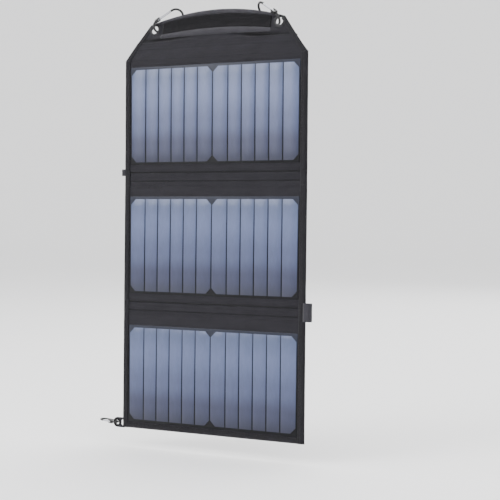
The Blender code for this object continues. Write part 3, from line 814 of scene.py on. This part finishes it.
def relief(x, z):
    """How far the flap's cloth stands behind its flat plane: bulging seams and pulled folds."""
    fade = smooth(z, -FLAP_BASE, -FLAP_BASE + 3 * MM) * (1 - smooth(abs(x), 92 * MM, 104 * MM))
    band = hump(z, arch(-7 * MM, 7.5 * MM, x), 4.2 * MM) * 1.5 * MM
    window = hump(z, arch(7 * MM, 10 * MM, x), 7 * MM) * 0.9 * MM
    window *= 1 - smooth(abs(x), 78 * MM, 90 * MM)
    pull = 2.3 * smooth(x, 10 * MM, 70 * MM) + 1.7 * smooth(-x, 25 * MM, 75 * MM)
    valley = hump(z, valley_z(x), 2.2 * MM) * pull * MM
    ridge = hump(z, valley_z(x) - 4.2 * MM, 2.4 * MM) * 0.9 * MM * smooth(abs(x), 5 * MM, 60 * MM)
    creases = 0.5 * MM * drift(x * 0.25, z, 5 * MM, 1.7) + 0.3 * MM * drift(x, z, 12 * MM, 4.2)
    return (window + valley - band - ridge) * fade + creases * fade


def flap_point(x, z, y=0.0):
    return FLAP @ Vector((x, y + relief(x, z), z))


def flap_row(columns, v):
    """A row of the flap's cloth, between its lower edge (v = 0) and its arched top (v = 1)."""
    row = []
    for u in shares(columns):
        side = 2 * u - 1
        top_x = side * FLAP_CORNER[0]
        top = arch(*TOP_ARCH, top_x)
        base_x = side * flap_half(-FLAP_BASE)
        row.append((base_x + (top_x - base_x) * v, -FLAP_BASE + (top + FLAP_BASE) * v))
    return row


def flap_cloth():
    rows = [[flap_point(x, z) for x, z in flap_row(110, v)] for v in shares(48)]
    obj = cloth("flap_cloth", rows, FLAP_FABRIC, 0.6 * MM)
    shade = obj.data.color_attributes.new("shade", "FLOAT_COLOR", "POINT")
    for vert, colour in zip(obj.data.vertices, shade.data):
        local = FLAP.inverted() @ vert.co
        kept = 1.05 - 0.85 * wedge(local.x, local.z)
        colour.color = (kept, kept, kept, 1)
    cut_eyelet_holes(obj)
    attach(obj, "flap")
    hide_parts("flap_face")
    return obj


def cut_eyelet_holes(obj):
    """Remove the cloth inside each eyelet, as a punch would."""
    bm = bmesh.new()
    bm.from_mesh(obj.data)
    for sign in (-1, 1):
        centre = FLAP @ Vector((sign * EYELET_X, 0, 0))
        hit = [f for f in bm.faces if (f.calc_center_median() - centre).length < 6.4 * MM]
        bmesh.ops.delete(bm, geom=hit, context="FACES")
    bm.to_mesh(obj.data)
    bm.free()


def arched_piece(name, arches, half, lift, swell, node_name, columns=90):
    """A band between two arched seams, round in section, lying on the flap's cloth."""
    upper, lower = arches
    rings = []
    for u in shares(columns):
        x = half * (2 * u - 1)
        high, low = arch(*upper, x), arch(*lower, x)
        end = min(1.0, (1 - abs(2 * u - 1)) * 12)
        ring = []
        for i in range(14):
            turn = 2 * math.pi * i / 14
            z = (high + low) / 2 + (high - low) / 2 * math.cos(turn)
            out = swell * math.sin(turn) * (0.35 + 0.65 * end)
            wave = 0.18 * MM * drift(x, z, 8 * MM, 6.1)
            ring.append(flap_point(x, z, -lift - max(out, -0.3 * MM) - wave))
        rings.append(ring)
    obj = loft(name, rings, LIGHT_BAND)
    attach(obj, "flap")
    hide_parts(node_name)
    return obj


def net():
    """Knitted net over its dark lining: crossed threads in a diamond pattern."""
    upper, lower = NET_ARCHES
    half = 84 * MM
    columns = round(2 * half / NET_PITCH)
    rows = []
    for j in range(10):
        row = []
        for i in range(columns + 1):
            shift = 0.5 if j % 2 else 0.0
            x = min(max(half * (2 * (i + shift) / columns - 1), -half), half)
            high, low = arch(*upper, x), arch(*lower, x)
            row.append(flap_point(x, low + (high - low) * j / 9, -0.75 * MM))
        rows.append(row)
    obj = loft("flap_net_threads", rows, NET, closed=False)
    wire = obj.modifiers.new("threads", "WIREFRAME")
    wire.thickness = 0.55 * MM
    wire.use_even_offset = False
    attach(obj, "flap")
    lining_rows = []
    for v in shares(12):
        row = []
        for u in shares(80):
            x = (half + MM) * (2 * u - 1)
            high, low = arch(*upper, x), arch(*lower, x)
            row.append(flap_point(x, low + (high - low) * v, -0.5 * MM))
        lining_rows.append(row)
    lining = cloth("flap_net_lining", lining_rows, NET_LINING, 0.3 * MM)
    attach(lining, "flap")
    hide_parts("flap_net")


def flap_edge_tape(side, sign):
    """Narrow dark tape down the flap's sloping side, from the corner by the eyelet to the fold."""
    corner = Vector((sign * FLAP_CORNER[0], 0, FLAP_CORNER[1]))
    foot = Vector((sign * flap_half(-FLAP_BASE), 0, -FLAP_BASE))
    along = (foot - corner).normalized()
    inward = Vector((0, 1, 0)).cross(along) * sign
    path = [(v, (corner.lerp(foot, v), inward)) for v in shares(24)]
    rings = tape_rings(FLAP, path, lambda share: tape_section(-MM, MM, 6 * MM, 0.5 * MM))
    obj = loft("flap_edge_tape_" + side, rings, TAPE)
    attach(obj, "flap")
    return obj


def flap_stitching():
    """Seams along the hem and band, and round each eyelet."""
    out = FLAP.to_3x3() @ Vector((0, -1, 0))
    lines = []
    for rise, drop, half, lift in (
        (17.4 * MM, 13 * MM, 96 * MM, 1.5 * MM),
        (-2.2 * MM, 8 * MM, 84 * MM, 0.8 * MM),
        (-11 * MM, 7 * MM, 84 * MM, 0.7 * MM),
    ):
        xs = [half * (2 * i / 14 - 1) for i in range(15)]
        lines.append(([flap_point(x, arch(rise, drop, x), -lift) for x in xs], out))
    for sign in (-1, 1):
        middle = sign * EYELET_X
        ring = []
        for i in range(13):
            turn = math.radians(30 * i)
            x, z = middle + 7.42 * MM * math.cos(turn), 6.324 * MM * math.sin(turn)
            ring.append(flap_point(x, z, -0.5 * MM))
        lines.append((ring, out))
    return stitching("flap_stitching", lines, "flap")


def pocket():
    """The soft pouch behind the flap: a bellied bag with a hemmed mouth."""
    low, high = POCKET_Z
    rings = []
    for v in shares(26):
        z = low + (high - low) * v
        belly = math.sin(math.pi * min(v * 0.9 + 0.1, 1)) ** 0.6
        ring = []
        for i in range(57):
            share = i / 56
            turn = math.pi * share
            x = -POCKET_HALF * math.copysign(abs(math.cos(turn)) ** 0.28, math.cos(turn))
            depth = (POCKET_Y[1] - POCKET_Y[0] - 1.2 * MM) * abs(math.sin(turn)) ** 0.35
            depth *= 0.9 + 0.1 * belly
            wave = 0.35 * MM * drift(x, z, 14 * MM, 8.8) * math.sin(turn)
            ring.append(FLAP @ Vector((x, POCKET_Y[0] + depth - 0.3 * MM + wave, z)))
        rings.append(ring)
    bm = bmesh.new()
    loft_into(bm, rings, closed=False)
    layer = bm.loops.layers.uv.verify()
    front_edge = rings[0]
    base = [FLAP @ Vector(((FLAP.inverted() @ p).x, POCKET_Y[0] - 0.3 * MM, low)) for p in front_edge]
    for i in range(len(base) - 1):
        if (base[i] - base[i + 1]).length > 1e-6:
            quad = [bm.verts.new(p) for p in (front_edge[i], front_edge[i + 1], base[i + 1], base[i])]
            face = bm.faces.new(quad)
            for loop, point in zip(face.loops, quad):
                local = FLAP.inverted() @ point.co
                loop[layer].uv = (local.x, local.y)
    bmesh.ops.remove_doubles(bm, verts=bm.verts, dist=0.02 * MM)
    bmesh.ops.recalc_face_normals(bm, faces=bm.faces)
    bag = add_mesh("pocket_bag", bm, BACK_FABRIC)
    solid = bag.modifiers.new("thickness", "SOLIDIFY")
    solid.thickness = 0.7 * MM
    solid.offset = 0
    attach(bag, "flap")
    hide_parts("pocket")
    hem_rings = []
    for i in range(0, 57):
        centre = rings[-1][i]
        ahead, behind = rings[-1][min(i + 1, 56)], rings[-1][max(i - 1, 0)]
        way = (ahead - behind).normalized()
        up = FLAP.to_3x3() @ Vector((0, 0, 1))
        out = way.cross(up).normalized()
        middle = centre - up * 2.6 * MM
        turns = [2 * math.pi * t / 10 for t in range(10)]
        ring = [middle + up * 2.9 * MM * math.cos(t) + out * 0.75 * MM * math.sin(t) for t in turns]
        hem_rings.append(ring)
    hem = loft("pocket_hem", hem_rings, TAPE)
    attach(hem, "flap")


def flap():
    face = flap_cloth()
    hem = arched_piece("flap_top_hem", HEM_ARCHES, 103 * MM, 0.5 * MM, MM, "flap_hem")
    band = arched_piece("flap_seam_band", BAND_ARCHES, 86 * MM, 0.3 * MM, 0.9 * MM, "flap_band")
    net()
    for side, sign in (("left", -1), ("right", 1)):
        flap_edge_tape(side, sign)
    flap_stitching()
    pocket()


# ---------------------------------------------------------------- webbing


def webbing_loop(key, name, node_name, sign, reach, half, wall, z):
    """A strip of webbing folded back on itself and sewn into the side seam."""
    matrix = SECTIONS[key] @ Matrix.Translation((0, FOLD_OFFSETS[key], 0))
    start = SHEET_W / 2 - 2 * MM
    middle = SHEET_W / 2 + reach - half
    path = [(start, -half * 0.6), (SHEET_W / 2 + 0.5 * MM, -half * 0.95)]
    for i in range(13):
        turn = math.pi * (i / 12 - 0.5)
        path.append((middle + (half - wall / 2) * math.cos(turn), (half - wall / 2) * math.sin(turn)))
    path += [(SHEET_W / 2 + 0.5 * MM, half * 0.95), (start, half * 0.6)]
    rings = []
    for i, (x, y) in enumerate(path):
        ahead, behind = path[min(i + 1, len(path) - 1)], path[max(i - 1, 0)]
        way = Vector((ahead[0] - behind[0], ahead[1] - behind[1])).normalized()
        across = Vector((-way.y, way.x))
        outline = rounded_rectangle((z[1] - z[0]) / 2, -wall / 2, wall / 2, wall * 0.45, 3)
        ring = []
        for width, thick in outline:
            at = Vector((x, y)) + across * thick
            ring.append(matrix @ Vector((sign * at.x, at.y, (z[0] + z[1]) / 2 + width)))
        rings.append(ring)
    obj = loft(name, rings, WEBBING)
    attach(obj, BODIES[key])
    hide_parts(node_name)


def corner_tab():
    """Rounded webbing tab at the lower left corner, with a hole round the eyelet."""
    matrix = SECTIONS["c"] @ Matrix.Translation((0, FOLD_OFFSETS["c"], 0))
    eyelet = matrix.inverted() @ Vector(JOINTS["corner_clip_swing"]["pos_m"])
    radius, start = 6.9 * MM, -SHEET_W / 2 + 2 * MM
    inner, outer = [], []
    for i in range(33):
        turn = math.pi * (0.5 + i / 32)
        spot = Vector((math.cos(turn), math.sin(turn)))
        outer.append(Vector((eyelet.x, eyelet.z)) + spot * radius)
        inner.append(Vector((eyelet.x, eyelet.z)) + spot * 4.2 * MM)
    outer = [Vector((start, outer[0].y))] + outer + [Vector((start, outer[-1].y))]
    ends = [Vector((eyelet.x + 4.2 * MM, eyelet.z + lift * MM)) for lift in (0.4, -0.4)]
    inner = [ends[0]] + inner + [ends[1]]
    rows = []
    for v in shares(4):
        spots = [a + (b - a) * v for a, b in zip(inner, outer)]
        wave = 0.15 * MM * math.sin(v * 9)
        rows.append([matrix @ Vector((spot.x, wave, spot.y)) for spot in spots])
    obj = cloth("corner_webbing_tab", rows, WEBBING, 1.3 * MM)
    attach(obj, "panel_c")
    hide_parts("corner_tab")


def bottom_tape():
    """Folded tape over the lower edge of the last section."""
    matrix = SECTIONS["c"] @ Matrix.Translation((0, FOLD_OFFSETS["c"], 0))
    half = SHEET_W / 2 - TAPE_W * 0.6
    path = []
    for v in shares(90):
        x = half * (2 * v - 1)
        wander = 0.15 * MM * drift(x, 0, 18 * MM, 4.4)
        path.append((v, (Vector((x, 0, low_z("c") + 0.1 * MM + wander)), Vector((0, 0, 1)))))
    outline = tape_section(TAPE_Y[0] + 0.15 * MM, TAPE_Y[1] - 0.15 * MM, 7.6 * MM, TAPE_T)
    rings = tape_rings(matrix, path, lambda share: outline)
    obj = loft("bottom_edge_tape", rings, TAPE)
    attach(obj, "panel_c")
    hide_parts("bottom_binding")
    out = matrix.to_3x3() @ Vector((0, -1, 0))
    ends = [matrix @ Vector((x, TAPE_Y[0] + 0.55 * MM, low_z("c") + 6.1 * MM)) for x in (-half, half)]
    rear = [matrix @ Vector((x, TAPE_Y[1] - 0.55 * MM, low_z("c") + 6.1 * MM)) for x in (-half, half)]
    stitching("bottom_stitching", [(ends, out), (rear, -out)], "panel_c")


# ---------------------------------------------------------------- hard pieces


def finish_hard_pieces():
    """Materials, and small rounded edges, for the pieces kept as they are."""
    looks = {
        "clip_left_body": BLACK_METAL, "clip_right_body": BLACK_METAL, "corner_clip_body": BLACK_METAL,
        "clip_left_gate": STEEL, "clip_right_gate": STEEL, "corner_clip_gate": STEEL,
        "clip_left_pin": STEEL, "clip_right_pin": STEEL, "corner_clip_pin": STEEL,
        "eyelet_left": GUNMETAL, "eyelet_right": GUNMETAL, "corner_eyelet": GUNMETAL,
        "output_shell_front": PLASTIC, "output_shell_rear": PLASTIC,
        "output_port_left": STEEL, "output_port_right": STEEL,
        "output_board": CIRCUIT, "output_light": LENS,
    }
    for key in "abc":
        looks[BODIES[key] + "_board"] = PLASTIC
    for name, look in looks.items():
        obj = frame["nodes"][name]
        obj.data.materials.clear()
        obj.data.materials.append(look)
        width = 0.6 * MM if name.startswith("output_shell") else 0.3 * MM
        if name.startswith(("output_shell", "clip", "corner_clip", "eyelet", "corner_eyelet")):
            bevel = obj.modifiers.new("rounded_edges", "BEVEL")
            bevel.width = width
            bevel.segments = 3
            bevel.limit_method = "ANGLE"
            bevel.angle_limit = math.radians(18)


# ---------------------------------------------------------------- stage


def area_light(name, place, target, size, power, tint=(1, 1, 1)):
    data = bpy.data.lights.new(name, "AREA")
    data.shape = "RECTANGLE"
    data.size, data.size_y = size
    data.energy = power
    data.color = tint
    obj = bpy.data.objects.new(name, data)
    obj.location = place
    obj.rotation_euler = (Vector(target) - Vector(place)).to_track_quat("-Z", "Y").to_euler()
    bpy.context.scene.collection.objects.link(obj)


def floor():
    """A pale floor that curves up into a round wall far behind the object, whichever way one looks."""
    level = FLOOR_Z
    profile = [(0.001, level), (3.0, level), (5.0, level)]
    for i in range(1, 9):
        turn = math.pi / 2 * i / 8
        profile.append((5 + 2 * math.sin(turn), level + 2 - 2 * math.cos(turn)))
    profile.append((7.0, level + 5.0))
    rings = []
    for radius, height in profile:
        turns = [2 * math.pi * i / 64 for i in range(64)]
        rings.append([Vector((radius * math.cos(t), radius * math.sin(t), height)) for t in turns])
    look, shader = new_look("pale_floor", roughness=0.75)
    patch = noise_map(look, "Object", (1.5, 1.5, 1.5), 2.0)
    pale, paler = (0.94, 0.94, 0.95, 1), (0.96, 0.96, 0.96, 1)
    linked(look, shader, "Base Color", blend_colours(look, patch, pale, paler))
    obj = loft("pale_floor", rings, look, closed=True, caps=False)


def camera():
    """A long lens, from the right and a little above the middle."""
    azimuth, elevation, roll = (math.radians(a) for a in CAMERA_ANGLES)
    level = math.cos(elevation)
    way = Vector((math.sin(azimuth) * level, -math.cos(azimuth) * level, math.sin(elevation)))
    data = bpy.data.cameras.new("camera")
    data.sensor_width = 36
    data.lens = CAMERA_LENS
    data.clip_end = 60
    obj = bpy.data.objects.new("camera", data)
    obj.location = Vector(CAMERA_TARGET) + way * CAMERA_DISTANCE
    aim = (-way).to_track_quat("-Z", "Y")
    obj.rotation_euler = (aim.to_matrix() @ Matrix.Rotation(-roll, 3, "Z")).to_euler()
    bpy.context.scene.collection.objects.link(obj)
    bpy.context.scene.camera = obj


def lights():
    middle = (0, 0, -0.29)
    area_light("key_softbox", (-1.6, -2.3, 0.9), middle, (1.6, 1.6), 75)
    area_light("fill_softbox", (2.2, -1.8, 0.6), middle, (1.5, 2.0), 22)
    area_light("top_softbox", (0, 0.2, 2.2), middle, (2.4, 2.0), 60)
    area_light("back_softbox", (0.3, 2.6, 0.8), middle, (2.4, 1.6), 30)
    world = bpy.data.worlds.new("studio")
    world.use_nodes = True
    world.node_tree.nodes["Background"].inputs[0].default_value = (1, 1, 1, 1)
    world.node_tree.nodes["Background"].inputs[1].default_value = 1.5
    bpy.context.scene.world = world


FLOOR_Z = cad_box[0][2] - 25 * MM
CAMERA_ANGLES = (30.37, 2.48, 0.26)
CAMERA_DISTANCE = 1.898
CAMERA_TARGET = (0.0457, 0, -0.3223)
CAMERA_LENS = 102.5

camera()
lights()
floor()
for key in "abc":
    section(key)
    fold(key)
flap()
low_a, low_b = low_z("a"), low_z("b")
left_span, right_span = (low_a - 5 * MM, low_a + 4 * MM), (low_b - 18 * MM, low_b + 6 * MM)
webbing_loop("a", "left_webbing_loop", "loop_left", -1, 5 * MM, 2 * MM, 0.9 * MM, left_span)
webbing_loop("b", "right_webbing_loop", "loop_right", 1, 9.5 * MM, 3.8 * MM, MM, right_span)
corner_tab()
bottom_tape()
finish_hard_pieces()
